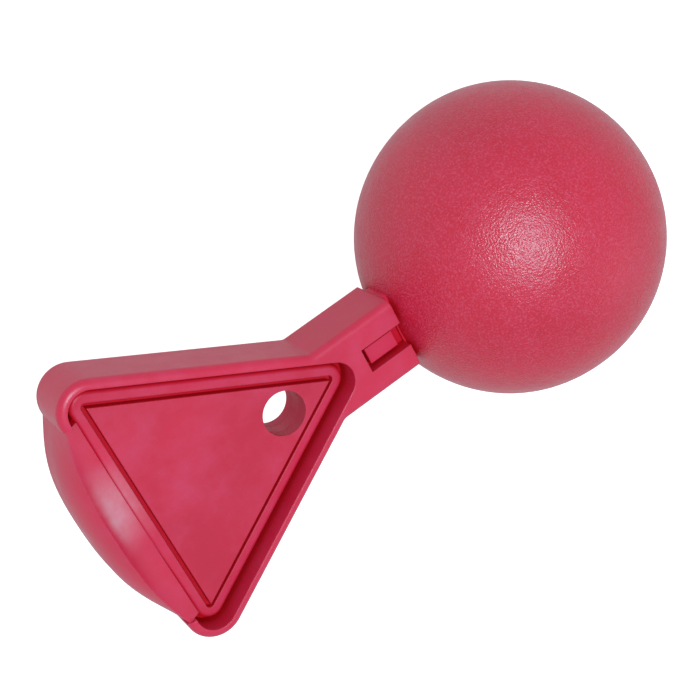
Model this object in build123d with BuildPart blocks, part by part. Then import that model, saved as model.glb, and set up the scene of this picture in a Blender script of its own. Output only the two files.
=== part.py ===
from build123d import *
import os
from math import sqrt

# Case-opening friction ball: a soft rubber ball plugged into a flat triangular grip.
# The ball is pressed on a screw-down watch back and turned by the grip.
# +X runs from the grip to the ball and +Z points out of the grip's front face.
# The origin is the centre of the hanging hole, on the grip's mid-plane. Millimetres.

# ---- Ball ----
ball_radius = 25.0
ball_centre_x = 47.4
seat_clearance = 0.05  # between the ball and the flat end of the neck

# ---- Grip: a triangle that points at the ball, with a square neck ----
grip_half_thickness = 5.7
neck_half_width = 6.25
junction_radius = 1.5  # hollow corners where the neck leaves the triangle
outer_edge_radius = 1.2
plate_side = 38.8  # equilateral face plate
plate_apex_x = 8.75  # the plate's corner nearest the ball
wall_outer_offset = 4.85  # outwards from the plate's sides
wall_inner_offset = 3.35
wall_inner_edge_radius = 0.15
rim_outer_offset = 2.4
channel_floor_z = 0.5  # the channel between wall and rim stops here
rim_z = 3.1
rim_edge_radius = 0.7

# ---- Grip: rounded palm rest along the triangle's base ----
palm_half_length = 18.8
palm_sections = 7
palm_bulge_power = 2.6  # how square the bulge is from end to end
palm_edge_end_x = -29.3  # the crisp edge around the front thumb scoop
palm_edge_bulge = 2.55
palm_edge_z = 5.1
palm_crest_end_x = -29.65  # the widest part, from palm_crest_z to the back
palm_crest_bulge = 4.75
palm_crest_z = -1.5
scoop_inner_x = -27.2
scoop_inner_z = 2.7  # at the middle of the scoop
scoop_middle_z = 3.3
scoop_middle_share = 0.54
scoop_end_rise = 1.5  # the scoop is a dish: it climbs towards both ends
palm_root_x = -26.9  # the palm rest starts here, inside the rim

# ---- Face plates, front and back ----
plate_face_z = 3.6
plate_floor_z = 1.2
plate_step_z = 2.0  # top of the flange under the raised face
plate_gap = 0.7  # groove between the raised face and the rim
plate_fit = 0.05
plate_edge_radius = 0.15
peg_radius = 1.5
peg_length = 0.8
peg_places = ((-18.5, 10.0), (-18.5, -10.0))

# ---- Hanging hole ----
hang_hole_radius = 3.6

# ---- Socket in the neck and the ball's stem ----
socket_half_width = 3.7
socket_half_height = 2.8
socket_floor_x = 13.4
stem_fit = 0.05
stem_tip_x = 13.6
stem_tip_chamfer = 0.6
stem_end_x = 53.0
slot_half_width = 2.1
slot_start_x = 14.8
key_half_width = 1.4
key_start_x = 15.6
key_end_x = 20.9
key_top_z = 4.6
key_edge_radius = 0.15
shoulder_half_width = 6.1  # the stem's stop against the end of the neck
shoulder_half_height = 3.4
shoulder_end_x = 25.5
shoulder_corner_radius = 1.2

# ---- Anchor flanges that hold the stem in the rubber ----
flange_radius = 11.0
flange_thickness = 3.0
flange_places = (36.0, 50.0)
flange_hole_radius = 1.8
flange_hole_circle = 7.6
flange_hole_count = 4

# ---- Derived ----
plate_radius = plate_side / sqrt(3)
plate_centre_x = plate_apex_x - plate_radius
past_end = 2.0  # cutters run this far past the faces they cut
neck_end_x = ball_centre_x - ball_radius - seat_clearance


def plate_outline(growth):
    """The face plate's triangle, grown outwards with rounded corners."""
    with BuildSketch(mode=Mode.PRIVATE) as outline:
        with Locations((plate_centre_x, 0)):
            RegularPolygon(radius=plate_radius, side_count=3)
        if growth > 0:
            offset(amount=growth, kind=Kind.ARC)
    return outline.sketch


# The palm rest: it bulges from end to end, with a shallow thumb scoop on each face.
with BuildPart() as palm_rest:
    for number in range(palm_sections):
        section_y = palm_half_length * (2 * number / (palm_sections - 1) - 1)
        rise = scoop_end_rise * (section_y / palm_half_length) ** 2
        bulge = 1 - abs(section_y / palm_half_length) ** palm_bulge_power
        edge_x = palm_edge_end_x - palm_edge_bulge * bulge
        crest_x = palm_crest_end_x - palm_crest_bulge * bulge
        inner = Vector(scoop_inner_x, scoop_inner_z + rise)
        middle = Vector(scoop_inner_x + scoop_middle_share * (edge_x - scoop_inner_x), scoop_middle_z + rise)
        back_middle_x = scoop_inner_x + scoop_middle_share * (crest_x - scoop_inner_x)
        with BuildSketch(Plane.XZ.offset(-section_y)):
            with BuildLine():
                front = ThreePointArc(inner, middle, (edge_x, palm_edge_z))
                side = TangentArc((crest_x, palm_crest_z), front @ 1, tangent=(0, 1))
                wall = Line(side @ 0, (crest_x, -palm_edge_z))
                back = ThreePointArc(wall @ 1, (back_middle_x, -middle.Y), (scoop_inner_x, -inner.Y))
                Line(back @ 1, inner)
            make_face()
    loft()


# The rounded triangular block inside the channel.
with BuildPart() as rim_block:
    with BuildSketch(Plane.XY):
        add(plate_outline(rim_outer_offset))
    extrude(amount=rim_z, both=True)
    fillet(rim_block.faces().filter_by(Axis.Z).edges(), radius=rim_edge_radius)


# The grip body: one moulding, the same on its front and its back but for the slot.
with BuildPart() as grip_body:
    with BuildSketch(Plane.XY):
        add(plate_outline(wall_outer_offset))
        Rectangle(neck_end_x, 2 * neck_half_width, align=(Align.MIN, Align.CENTER))
    extrude(amount=grip_half_thickness, both=True)
    fillet(
        grip_body.edges().filter_by(Axis.Z).filter_by(lambda edge: 0 < edge.center().X < neck_end_x - past_end),
        radius=junction_radius,
    )
    fillet(
        grip_body.faces().filter_by(Axis.Z).edges().filter_by(lambda edge: edge.center().X < neck_end_x - 0.1),
        radius=outer_edge_radius,
    )

    # The channel around the rim, cut from both faces.
    for facing in (1, -1):
        with BuildSketch(Plane.XY.offset(facing * channel_floor_z)):
            add(plate_outline(wall_inner_offset))
        extrude(amount=facing * grip_half_thickness, mode=Mode.SUBTRACT)
    lip_faces = (grip_body.faces().sort_by(Axis.Z)[-1], grip_body.faces().sort_by(Axis.Z)[0])
    fillet([edge for face in lip_faces for edge in face.inner_wires().edges()], radius=wall_inner_edge_radius)

    # The palm rest takes the place of the wall along the base.
    with BuildSketch(Plane.XY):
        with Locations((palm_root_x, 0)):
            Rectangle(grip_half_thickness, 2 * palm_half_length, align=(Align.MAX, Align.CENTER))
    extrude(amount=grip_half_thickness + past_end, both=True, mode=Mode.SUBTRACT)
    add(palm_rest.part)

    # The rim that frames both face plates.
    add(rim_block.part)

    # Recesses for the face plates, with holes for their pegs.
    for facing in (1, -1):
        with BuildSketch(Plane.XY.offset(facing * plate_floor_z)):
            add(plate_outline(plate_gap))
        extrude(amount=facing * grip_half_thickness, mode=Mode.SUBTRACT)
        with BuildSketch(Plane.XY.offset(facing * plate_floor_z)):
            with Locations(*peg_places):
                Circle(peg_radius + plate_fit)
        extrude(amount=-facing * (peg_length + plate_fit), mode=Mode.SUBTRACT)

    # Hanging hole.
    with BuildSketch(Plane.XY):
        Circle(hang_hole_radius)
    extrude(amount=grip_half_thickness, both=True, mode=Mode.SUBTRACT)

    # Square socket and its open slot.
    with BuildSketch(Plane.YZ.offset(socket_floor_x)):
        Rectangle(2 * socket_half_width, 2 * socket_half_height)
    extrude(amount=neck_end_x, mode=Mode.SUBTRACT)
    with BuildSketch(Plane.XY):
        with Locations((slot_start_x, 0)):
            Rectangle(neck_end_x, 2 * slot_half_width, align=(Align.MIN, Align.CENTER))
    extrude(amount=grip_half_thickness + past_end, mode=Mode.SUBTRACT)
grip_body.part.label = "grip_body"


# The front face plate: a raised triangle on a wider flange, with two pegs below.
with BuildPart() as front_plate:
    with BuildSketch(Plane.XY.offset(plate_floor_z)):
        add(plate_outline(plate_gap - plate_fit))
    extrude(amount=plate_step_z - plate_floor_z)
    with BuildSketch(Plane.XY.offset(plate_step_z)):
        add(plate_outline(0))
    extrude(amount=plate_face_z - plate_step_z)
    fillet(front_plate.faces().sort_by(Axis.Z)[-1].edges(), radius=plate_edge_radius)
    with BuildSketch(Plane.XY.offset(plate_floor_z)):
        with Locations(*peg_places):
            Circle(peg_radius)
    extrude(amount=-peg_length)
    with BuildSketch(Plane.XY):
        Circle(hang_hole_radius)
    extrude(amount=grip_half_thickness, mode=Mode.SUBTRACT)
front_plate.part.label = "front_plate"


# The back plate is its mirror image.
with BuildPart() as back_plate:
    add(front_plate.part)
    mirror(about=Plane.XY, mode=Mode.REPLACE)
back_plate.part.label = "back_plate"


# The stem: a square spigot with a key on top, a shoulder, and two pierced flanges in the rubber.
with BuildPart() as ball_stem:
    with BuildSketch(Plane.YZ.offset(stem_tip_x)):
        Rectangle(2 * (socket_half_width - stem_fit), 2 * (socket_half_height - stem_fit))
    extrude(amount=stem_end_x - stem_tip_x)
    chamfer(ball_stem.faces().sort_by(Axis.X)[0].edges(), length=stem_tip_chamfer)
    with BuildSketch(Plane.XY):
        with Locations((key_start_x, 0)):
            Rectangle(key_end_x - key_start_x, 2 * key_half_width, align=(Align.MIN, Align.CENTER))
    extrude(amount=key_top_z)
    fillet(
        ball_stem.faces().filter_by(Axis.Z).sort_by(Axis.Z)[-1].edges(),
        radius=key_edge_radius,
    )
    with BuildSketch(Plane.YZ.offset(ball_centre_x - ball_radius)):
        RectangleRounded(2 * shoulder_half_width, 2 * shoulder_half_height, shoulder_corner_radius)
    extrude(amount=shoulder_end_x - (ball_centre_x - ball_radius))
    for place_x in flange_places:
        with BuildSketch(Plane.YZ.offset(place_x - flange_thickness / 2)):
            Circle(flange_radius)
            with PolarLocations(flange_hole_circle, flange_hole_count, start_angle=45):
                Circle(flange_hole_radius, mode=Mode.SUBTRACT)
        extrude(amount=flange_thickness)
ball_stem.part.label = "ball_stem"


# The ball: solid rubber moulded around the stem and its flanges.
with BuildPart() as friction_ball:
    with Locations((ball_centre_x, 0, 0)):
        Sphere(ball_radius)
    add(ball_stem.part, mode=Mode.SUBTRACT)
friction_ball.part.label = "friction_ball"


os.makedirs("parts", exist_ok=True)
for piece in (grip_body, front_plate, back_plate, ball_stem, friction_ball):
    export_step(piece.part, f"parts/{piece.part.label}.step")
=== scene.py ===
import bpy
from mathutils import Matrix, Vector, noise


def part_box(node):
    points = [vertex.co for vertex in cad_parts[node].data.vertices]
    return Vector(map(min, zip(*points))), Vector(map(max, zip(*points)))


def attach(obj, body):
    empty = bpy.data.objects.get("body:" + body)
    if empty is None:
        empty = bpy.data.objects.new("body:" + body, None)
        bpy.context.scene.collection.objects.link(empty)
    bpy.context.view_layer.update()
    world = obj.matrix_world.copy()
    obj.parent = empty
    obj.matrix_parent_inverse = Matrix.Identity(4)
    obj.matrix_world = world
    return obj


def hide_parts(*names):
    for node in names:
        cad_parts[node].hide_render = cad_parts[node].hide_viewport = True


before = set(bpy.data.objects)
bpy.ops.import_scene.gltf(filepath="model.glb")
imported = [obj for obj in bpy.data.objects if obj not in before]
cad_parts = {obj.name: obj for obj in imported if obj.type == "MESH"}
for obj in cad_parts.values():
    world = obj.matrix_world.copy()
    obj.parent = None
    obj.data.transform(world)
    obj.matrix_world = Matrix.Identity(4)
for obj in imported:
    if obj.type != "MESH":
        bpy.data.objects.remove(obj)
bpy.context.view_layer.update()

# Case-opening friction ball: moulded grip with face plates, and a grained rubber ball on a stem.
# Metres. +X runs from the grip to the ball, +Z points out of the grip's front face.

MM = 0.001

# ---- Colours, linear ----
GRIP_RED = (0.56, 0.016, 0.050)
PLATE_RED = (0.53, 0.012, 0.040)
STEM_RED = (0.58, 0.012, 0.048)
BALL_RED = (0.53, 0.007, 0.030)
GROOVE_SHADE_RED = (0.58, 0.006, 0.010)  # painted shade, mixed into narrow grooves
WORN_PINK = (0.62, 0.13, 0.19)  # rubbed edges
PAINTED_GLINT_PINK = (0.64, 0.12, 0.20)  # painted glints: bright specks standing in for light caught by the ball's grain
SCOOP_HIGHLIGHT_MAUVE = (0.60, 0.27, 0.31)  # painted highlight on the scoop of the palm rest
FLOOR_GREY = (0.35, 0.35, 0.35)

# ---- Patterns in the mouldings ----
BROAD_SIZE = 16 * MM  # slow drift of the colour
PATCH_SIZE = 4 * MM  # cloudy patches
SPECK_SIZE = 0.32 * MM
RUB_SIZE = 1.5 * MM  # breaks up the rubbed edges
CAVITY_REACH = 6.5 * MM  # walls nearer than this darken a groove with painted shade

# ---- Painted highlight, on the front scoop of the palm rest ----
HIGHLIGHT_INSET = 4.2 * MM  # from the palm end of the grip
HIGHLIGHT_SHIFT = 3.5 * MM  # towards +Y from the middle
HIGHLIGHT_BELOW = 1.7 * MM  # under the grip's front
HIGHLIGHT_REACH = 9.0 * MM

# ---- Ball surface ----
BALL_SUBDIVISIONS = 8
SWELL_SIZE = 18.0 * MM  # makes the outline slightly uneven, and fades towards the neck
SWELL_HEIGHT = 0.30 * MM
LUMP_SIZE = 1.2 * MM
LUMP_HEIGHT = 0.010 * MM
LUMP_OFFSET = Vector((11.3, 4.7, 8.1))  # the offsets keep the three noises apart
GRAIN_SIZE = 0.55 * MM
GRAIN_HEIGHT = 0.012 * MM
GRAIN_OFFSET = Vector((3.9, 17.2, 6.6))

# ---- Light; directions are right, up and towards the camera ----
WORLD_STRENGTH = 0.67
WORLD_TINT = (0.97, 0.95, 1.0)
LAMP_TINT = (0.52, 0.87, 1.0)  # cool, so that its shine looks grey on the red
KEY_DIRECTION = (0.13, -0.14, 0.98)
KEY_POWER = 3.4
KEY_SIZE = 0.15
SIDE_DIRECTION = (0.94, -0.28, 0.10)
SIDE_POWER = 0.3
SIDE_SIZE = 0.42
LIGHT_DISTANCE = 0.60

# ---- Floor ----
FLOOR_SIDE = 4.0
FLOOR_GAP = 0.2 * MM  # between the ball and the floor
FLOOR_ROUGHNESS = 0.9
FLOOR_SEEN = 1.0  # the floor's brightness in the picture
FLOOR_GLOW = 0.30  # the light it gives the tool

# ---- Camera, in the row frame ----
CAMERA_PLACE = Vector((-51.13, 116.0, 223.29)) * MM
CAMERA_RIGHT = Vector((0.78467, -0.42431, 0.45195))
CAMERA_UP = Vector((0.56539, 0.78881, -0.24105))
CAMERA_BACK = CAMERA_RIGHT.cross(CAMERA_UP)
CAMERA_LENS = 85.81
SENSOR_WIDTH = 36.0
CLIP_START = 0.01
CLIP_END = 10.0


# ---------------------------------------------------------------- node helpers
def add_node(tree, kind, links=None, **settings):
    """A new shader node. Settings are its attributes; links map an input to a value or an output socket."""
    node = tree.nodes.new(kind)
    for key, value in settings.items():
        setattr(node, key, value)
    for key, value in (links or {}).items():
        if isinstance(value, bpy.types.NodeSocket):
            tree.links.new(value, node.inputs[key])
        else:
            node.inputs[key].default_value = value
    return node


def noise_at(tree, place, size, detail=2.0, roughness=0.5):
    """Noise whose features are about `size` metres across."""
    links = {"Vector": place, "Scale": 1.0 / size, "Detail": detail, "Roughness": roughness}
    return add_node(tree, "ShaderNodeTexNoise", links).outputs["Fac"]


def remap(tree, value, low, high, new_low, new_high, **settings):
    links = {"Value": value, "From Min": low, "From Max": high, "To Min": new_low, "To Max": new_high}
    return add_node(tree, "ShaderNodeMapRange", links, **settings).outputs["Result"]


def maths(tree, operation, first, second):
    return add_node(tree, "ShaderNodeMath", {0: first, 1: second}, operation=operation).outputs[0]


def blend_colour(tree, share, first, second):
    node = add_node(tree, "ShaderNodeMix", {"Factor": share}, data_type="RGBA")
    for socket, value in ((node.inputs[6], first), (node.inputs[7], second)):
        if isinstance(value, bpy.types.NodeSocket):
            tree.links.new(value, socket)
        else:
            socket.default_value = (*value, 1.0)
    return node.outputs[2]


def bump(tree, height, distance, normal):
    links = {"Height": height, "Distance": distance, "Strength": 1.0, "Normal": normal}
    return add_node(tree, "ShaderNodeBump", links).outputs["Normal"]


def tinted(colour, factor):
    return tuple(channel * factor for channel in colour)


# ---------------------------------------------------------------- layers of the moulded look
def mottled_colour(tree, place, base, patch, mottle, glints):
    """The base colour with slow drift, cloudy patches, dark speckle and painted glints (highlight specks).
    """
    broad = noise_at(tree, place, BROAD_SIZE, detail=3.0)
    speck = noise_at(tree, place, SPECK_SIZE, detail=1.0)
    dim = tinted(base, 1 - 0.07 * mottle)
    dusty = (base[0], base[1] * 2.2, base[2] * 1.8)
    drifting = blend_colour(tree, remap(tree, broad, 0.3, 0.7, 0, 1), dim, tinted(base, 1.05))
    clouded = blend_colour(tree, remap(tree, patch, 0.42, 0.70, 0, 0.45 * mottle), drifting, dusty)
    speckled = blend_colour(tree, remap(tree, speck, 0.35, 0.75, 0, 0.16), clouded, tinted(base, 0.80))
    # Painted highlight specks (glints) over the colour.
    return blend_colour(tree, remap(tree, speck, 0.52, 0.28, 0, glints), speckled, PAINTED_GLINT_PINK)


def rubbed_share(tree, place, rounded, wear):
    """How rubbed each point is: only edges are, where the rounded normal leaves the true one."""
    true_normal = add_node(tree, "ShaderNodeNewGeometry").outputs["Normal"]
    agreement = add_node(tree, "ShaderNodeVectorMath", {0: rounded, 1: true_normal}, operation="DOT_PRODUCT")
    edge = remap(tree, agreement.outputs["Value"], 0.995, 0.75, 0, 1)
    rub = remap(tree, noise_at(tree, place, RUB_SIZE, detail=3.0), 0.35, 0.65, 0.25, 1)
    return maths(tree, "MULTIPLY", maths(tree, "MULTIPLY", edge, rub), wear)


def scoop_highlight_mask(tree, spot):
    """1 at the centre of the painted highlight, fading to 0 at its reach and on surfaces that don't face the
    front.
    """
    coordinates = add_node(tree, "ShaderNodeTexCoord").outputs
    away = add_node(tree, "ShaderNodeVectorMath", {0: coordinates["Object"], 1: spot}, operation="DISTANCE")
    facing = add_node(tree, "ShaderNodeSeparateXYZ", {"Vector": coordinates["Normal"]}).outputs["Z"]
    near = remap(tree, away.outputs["Value"], 0, HIGHLIGHT_REACH, 1, 0, interpolation_type="SMOOTHSTEP")
    return maths(tree, "MULTIPLY", near, remap(tree, facing, 0.65, 0.85, 0, 1))


def grained_normal(tree, place, rounded, grain_size, grain_depth):
    """The rounded normal, lifted by fine pebbles and pits and by a coarser grain."""
    pebble_links = {"Vector": place, "Scale": 1.0 / grain_size, "Smoothness": 0.6}
    pebbles = add_node(tree, "ShaderNodeTexVoronoi", pebble_links, feature="SMOOTH_F1").outputs["Distance"]
    pits = noise_at(tree, place, grain_size * 0.8, detail=2.0, roughness=0.6)
    coarse = noise_at(tree, place, grain_size * 7, detail=2.0)
    fine_normal = bump(tree, maths(tree, "SUBTRACT", pits, pebbles), grain_depth, rounded)
    return bump(tree, coarse, grain_depth * 1.5, fine_normal)


def moulded(
    name,
    base,
    roughness,
    grain_size,
    grain_depth,
    edge_radius=0.25 * MM,
    wear=0.5,
    mottle=1.0,
    glints=0.0,
    highlight_spot=None,
    sheen_level=0.40,
):
    """Moulded plastic or rubber: mottled colour, rubbed edges, painted shade in narrow grooves and fine
    grain.
    """
    material = bpy.data.materials.new(name)
    material.use_nodes = True
    tree = material.node_tree
    tree.nodes.clear()
    place = add_node(tree, "ShaderNodeTexCoord").outputs["Object"]
    patch = noise_at(tree, place, PATCH_SIZE * mottle, detail=4.0, roughness=0.6)
    rounded = add_node(tree, "ShaderNodeBevel", {"Radius": edge_radius}, samples=4).outputs["Normal"]

    # Colour, with rubbed edges and the painted highlight on the scoop over it.
    worn_share = rubbed_share(tree, place, rounded, wear)
    colour = mottled_colour(tree, place, base, patch, mottle, glints)
    colour = blend_colour(tree, worn_share, colour, WORN_PINK)
    if highlight_spot is not None:
        uneven = remap(tree, patch, 0.3, 0.7, 0.35, 0.75)
        highlight_share = maths(tree, "MULTIPLY", scoop_highlight_mask(tree, highlight_spot), uneven)
        colour = blend_colour(tree, highlight_share, colour, SCOOP_HIGHLIGHT_MAUVE)

    # Painted shade: narrow grooves get a darker red, and lose their sheen.
    occlusion = add_node(tree, "ShaderNodeAmbientOcclusion", {"Distance": CAVITY_REACH}, samples=8)
    open_share = occlusion.outputs["AO"]
    colour = blend_colour(tree, remap(tree, open_share, 0.60, 0.15, 0, 1), colour, GROOVE_SHADE_RED)
    sheen = remap(tree, open_share, 0.30, 0.80, 0.02, sheen_level)

    # Roughness drifts with the patches, and rubbing smooths it.
    drift = remap(tree, patch, 0.3, 0.7, roughness - 0.05, roughness + 0.06)
    rough = maths(tree, "SUBTRACT", drift, maths(tree, "MULTIPLY", worn_share, 0.08))

    surface = grained_normal(tree, place, rounded, grain_size, grain_depth)
    finish = {"Base Color": colour, "Roughness": rough, "Normal": surface, "Specular IOR Level": sheen}
    shader = add_node(tree, "ShaderNodeBsdfPrincipled", finish)
    add_node(tree, "ShaderNodeOutputMaterial", {"Surface": shader.outputs[0]})
    return material


# ---------------------------------------------------------------- the pieces
def dress(node_name, material):
    mesh_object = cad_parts[node_name]
    mesh_object.data.materials.clear()
    mesh_object.data.materials.append(material)


def ball_height(direction, radius):
    """How far the rubber stands above the true sphere: slow swell, lumps and grain."""
    point = direction * radius
    away_from_neck = (1 + direction.x) / 2
    height = SWELL_HEIGHT * away_from_neck * noise.noise(point / SWELL_SIZE)
    height += LUMP_HEIGHT * noise.noise(point / LUMP_SIZE + LUMP_OFFSET)
    height += GRAIN_HEIGHT * noise.noise(point / GRAIN_SIZE + GRAIN_OFFSET)
    return height


def rubber_ball(material):
    """Puts a grained ball in the place of the plain one, and returns its centre."""
    low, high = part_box("friction_ball")
    radius = (high.z - low.z) / 2
    centre = Vector((high.x - radius, (low.y + high.y) / 2, (low.z + high.z) / 2))
    bpy.ops.mesh.primitive_ico_sphere_add(subdivisions=BALL_SUBDIVISIONS, radius=radius)
    ball = bpy.context.object
    ball.name = "rubber_ball"
    for vertex in ball.data.vertices:
        direction = vertex.co.normalized()
        vertex.co = centre + direction * (radius + ball_height(direction, radius))
    ball.data.polygons.foreach_set("use_smooth", [True] * len(ball.data.polygons))
    ball.data.materials.append(material)
    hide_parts("friction_ball")
    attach(ball, "ball")
    return centre


grip_low, grip_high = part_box("grip_body")
# Centre of the painted highlight, on the scoop near the grip's palm end.
scoop_highlight_spot = Vector((grip_low.x + HIGHLIGHT_INSET, HIGHLIGHT_SHIFT, grip_high.z - HIGHLIGHT_BELOW))
fine_grain = {"grain_size": 0.30 * MM, "grain_depth": 0.004 * MM}
grip_look = moulded("grip_moulding", GRIP_RED, roughness=0.38, highlight_spot=scoop_highlight_spot, **fine_grain)
plate_look = moulded(
    "plate_moulding", PLATE_RED, roughness=0.44, edge_radius=0.12 * MM, mottle=1.8, **fine_grain
)
stem_look = moulded("stem_moulding", STEM_RED, roughness=0.40, edge_radius=0.15 * MM, **fine_grain)
ball_look = moulded(
    "ball_grain",
    BALL_RED,
    roughness=0.33,
    grain_size=0.30 * MM,
    grain_depth=0.060 * MM,
    wear=0.0,
    glints=0.25,
    sheen_level=0.55,
)

dress("grip_body", grip_look)
dress("front_plate", plate_look)
dress("back_plate", plate_look)
dress("ball_stem", stem_look)
ball_centre = rubber_ball(ball_look)


# ---------------------------------------------------------------- floor, light and camera
def pale_floor():
    """A floor that is plain white in the picture but lights the tool only softly."""
    floor_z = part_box("friction_ball")[0].z - FLOOR_GAP
    bpy.ops.mesh.primitive_plane_add(size=FLOOR_SIDE, location=(0, 0, floor_z))
    floor = bpy.context.object
    floor.name = "floor"
    material = bpy.data.materials.new("pale_floor")
    material.use_nodes = True
    tree = material.node_tree
    seen = add_node(tree, "ShaderNodeLightPath").outputs["Is Camera Ray"]
    shader = tree.nodes["Principled BSDF"]
    shader.inputs["Base Color"].default_value = (*FLOOR_GREY, 1)
    shader.inputs["Roughness"].default_value = FLOOR_ROUGHNESS
    shader.inputs["Emission Color"].default_value = (1, 1, 1, 1)
    tree.links.new(remap(tree, seen, 0, 1, FLOOR_GLOW, FLOOR_SEEN), shader.inputs["Emission Strength"])
    floor.data.materials.append(material)


def area_light(name, view_direction, target, size, power):
    """A round lamp that shines on the target from a direction given as the camera sees it."""
    right, up, back = view_direction
    direction = (right * CAMERA_RIGHT + up * CAMERA_UP + back * CAMERA_BACK).normalized()
    data = bpy.data.lights.new(name, "AREA")
    data.shape = "DISK"
    data.size = size
    data.energy = power
    data.color = LAMP_TINT
    light = bpy.data.objects.new(name, data)
    bpy.context.scene.collection.objects.link(light)
    light.location = target + direction * LIGHT_DISTANCE
    light.rotation_euler = (-direction).to_track_quat("-Z", "Y").to_euler()


def studio_world():
    world = bpy.data.worlds.new("studio")
    bpy.context.scene.world = world
    world.use_nodes = True
    background = world.node_tree.nodes["Background"]
    background.inputs["Color"].default_value = (*WORLD_TINT, 1)
    background.inputs["Strength"].default_value = WORLD_STRENGTH


def photo_camera():
    data = bpy.data.cameras.new("camera")
    data.sensor_width = SENSOR_WIDTH
    data.lens = CAMERA_LENS
    data.clip_start = CLIP_START
    data.clip_end = CLIP_END
    camera = bpy.data.objects.new("camera", data)
    bpy.context.scene.collection.objects.link(camera)
    place = Matrix((CAMERA_RIGHT, CAMERA_UP, CAMERA_BACK)).transposed().to_4x4()
    place.translation = CAMERA_PLACE
    camera.matrix_world = place
    bpy.context.scene.camera = camera


pale_floor()
studio_world()
photo_camera()
area_light("key", KEY_DIRECTION, ball_centre, KEY_SIZE, KEY_POWER)
area_light("side", SIDE_DIRECTION, ball_centre, SIDE_SIZE, SIDE_POWER)
bpy.context.scene.view_settings.view_transform = "Standard"
